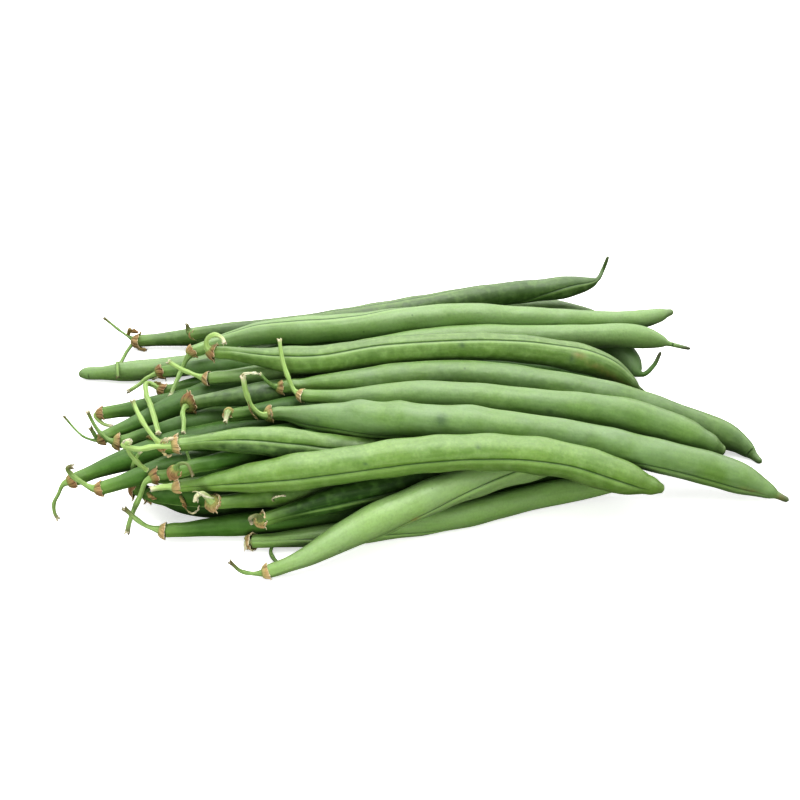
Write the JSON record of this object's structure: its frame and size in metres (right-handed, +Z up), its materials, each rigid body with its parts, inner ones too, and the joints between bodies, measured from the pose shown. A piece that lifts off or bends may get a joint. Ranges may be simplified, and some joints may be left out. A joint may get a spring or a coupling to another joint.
{
  "type": "green bean bundle",
  "caption": "Loose heap of fresh green beans lying side by side, with calyx collars, curved stems and pointed tips.",
  "frame": {"origin": "centre of the bounding box, at the bottom, on the surface that the heap rests on", "axes": "+X from the stem ends to the tips, +Y from the front of the heap to its back, +Z up"},
  "size_m": [0.187, 0.1146, 0.0306],
  "materials": {
    "pod_light": "light green bean pod with a soft waxy sheen",
    "pod_mid": "mid green bean pod with a soft waxy sheen",
    "pod_deep": "deep green bean pod with a soft waxy sheen",
    "stem": "pale yellow-green stem, matte",
    "calyx": "dry tan calyx and bracts, papery"
  },
  "bodies": {
    "root": {"bean_01": "pod_light", "bean_02": "pod_mid", "bean_03": "pod_mid", "bean_04": "pod_mid", "bean_05": "pod_light", "bean_06": "pod_mid", "bean_07": "pod_mid", "bean_08": "pod_mid", "bean_09": "pod_mid", "bean_10": "pod_deep", "bean_11": "pod_deep", "bean_12": "pod_mid", "bean_13": "pod_deep", "bean_14": "pod_mid", "bean_15": "pod_deep", "bean_16": "pod_deep", "bean_17": "pod_deep", "bean_18": "pod_light", "bean_19": "pod_deep", "bean_20": "pod_deep", "bean_21": "pod_deep", "bean_22": "pod_deep", "bean_23": "pod_deep", "bean_24": "pod_deep", "bean_25": "pod_mid", "bean_26": "pod_deep", "bean_27": "pod_deep", "bean_28": "pod_deep", "bean_29": "pod_deep", "bean_30": "pod_deep", "bean_31": "pod_deep", "bean_32": "pod_mid", "bean_33": "pod_light"}
  },
  "joints": []
}
